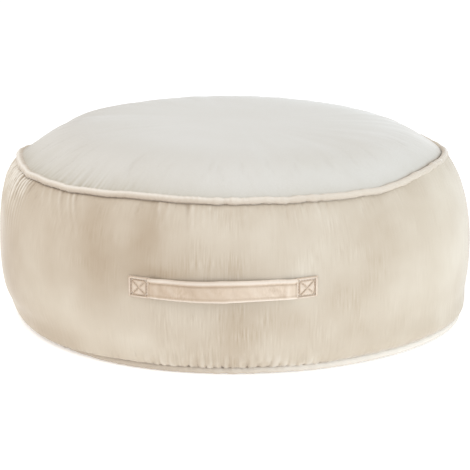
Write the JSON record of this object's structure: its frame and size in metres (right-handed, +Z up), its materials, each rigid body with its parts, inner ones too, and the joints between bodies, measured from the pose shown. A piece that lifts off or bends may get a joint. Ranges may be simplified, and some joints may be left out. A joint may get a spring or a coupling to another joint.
{
  "type": "floor cushion",
  "caption": "Squat round velvet floor cushion with a plump crowned top, bulging side, piped seams, a flat strap handle on the front and a long zip round the rear.",
  "frame": {"origin": "on the cushion's vertical axis, at the flat underside that rests on the floor", "axes": "+Z up through the crown, -Y towards the side with the strap handle, +Y towards the zip, +X to the right of someone facing the handle"},
  "size_m": [0.6099, 0.621, 0.2496],
  "materials": {
    "velvet_top": "short cut-pile velvet, cream",
    "velvet_side": "short cut-pile velvet, cream, nap brushed sideways",
    "velvet_piping": "short cut-pile velvet, cream, cut on the bias",
    "velvet_handle": "short cut-pile velvet, warm cream",
    "base_cloth": "plain non-slip woven cloth",
    "cord": "soft braided cotton",
    "webbing": "woven tape",
    "thread": "twisted sewing thread",
    "backing": "stiff non-woven cloth",
    "zip_tape": "woven polyester tape",
    "zip_teeth": "nylon coil",
    "zip_metal": "satin nickel",
    "liner": "thin non-woven cloth",
    "filling": "soft polyester fibre"
  },
  "bodies": {
    "cushion": {"top_panel": "velvet_top", "bottom_panel": "base_cloth", "side_band_front": "velvet_side", "rear_band_upper": "velvet_side", "rear_band_lower": "velvet_side", "top_piping": "velvet_piping", "bottom_piping": "velvet_piping", "top_piping_cord": "cord", "bottom_piping_cord": "cord", "handle_end_left": "velvet_handle", "handle_end_right": "velvet_handle", "handle_stitching_left": "thread", "handle_stitching_right": "thread", "handle_backing_patch_left": "backing", "handle_backing_patch_right": "backing", "zip_tape_upper": "zip_tape", "zip_tape_lower": "zip_tape", "zip_teeth_upper": "zip_teeth", "zip_teeth_lower": "zip_teeth", "zip_stop_closed": "zip_metal", "zip_stop_open": "zip_metal", "inner_case_top": "liner", "inner_case_side": "liner", "inner_case_bottom": "liner", "filling": "filling"},
    "handle": {"handle_strap": "velvet_handle", "handle_webbing_core": "webbing"},
    "zip_slider": {"zip_slider": "zip_metal"},
    "zip_pull": {"zip_pull": "zip_metal"}
  },
  "joints": [
    {"name": "handle_pull", "type": "slide", "parent": "cushion", "child": "handle", "axis": [0, -1, 0], "range_m": [0, 0.025]},
    {"name": "zip_slide", "type": "hinge", "parent": "cushion", "child": "zip_slider", "pos_m": [0, 0, 0.096], "axis": [0, 0, 1], "range_deg": [0, 140]},
    {"name": "pull_flip", "type": "hinge", "parent": "zip_slider", "child": "zip_pull", "pos_m": [0.28802, 0.102, 0.096], "axis": [0, 0, 1], "range_deg": [-165, 0]}
  ]
}
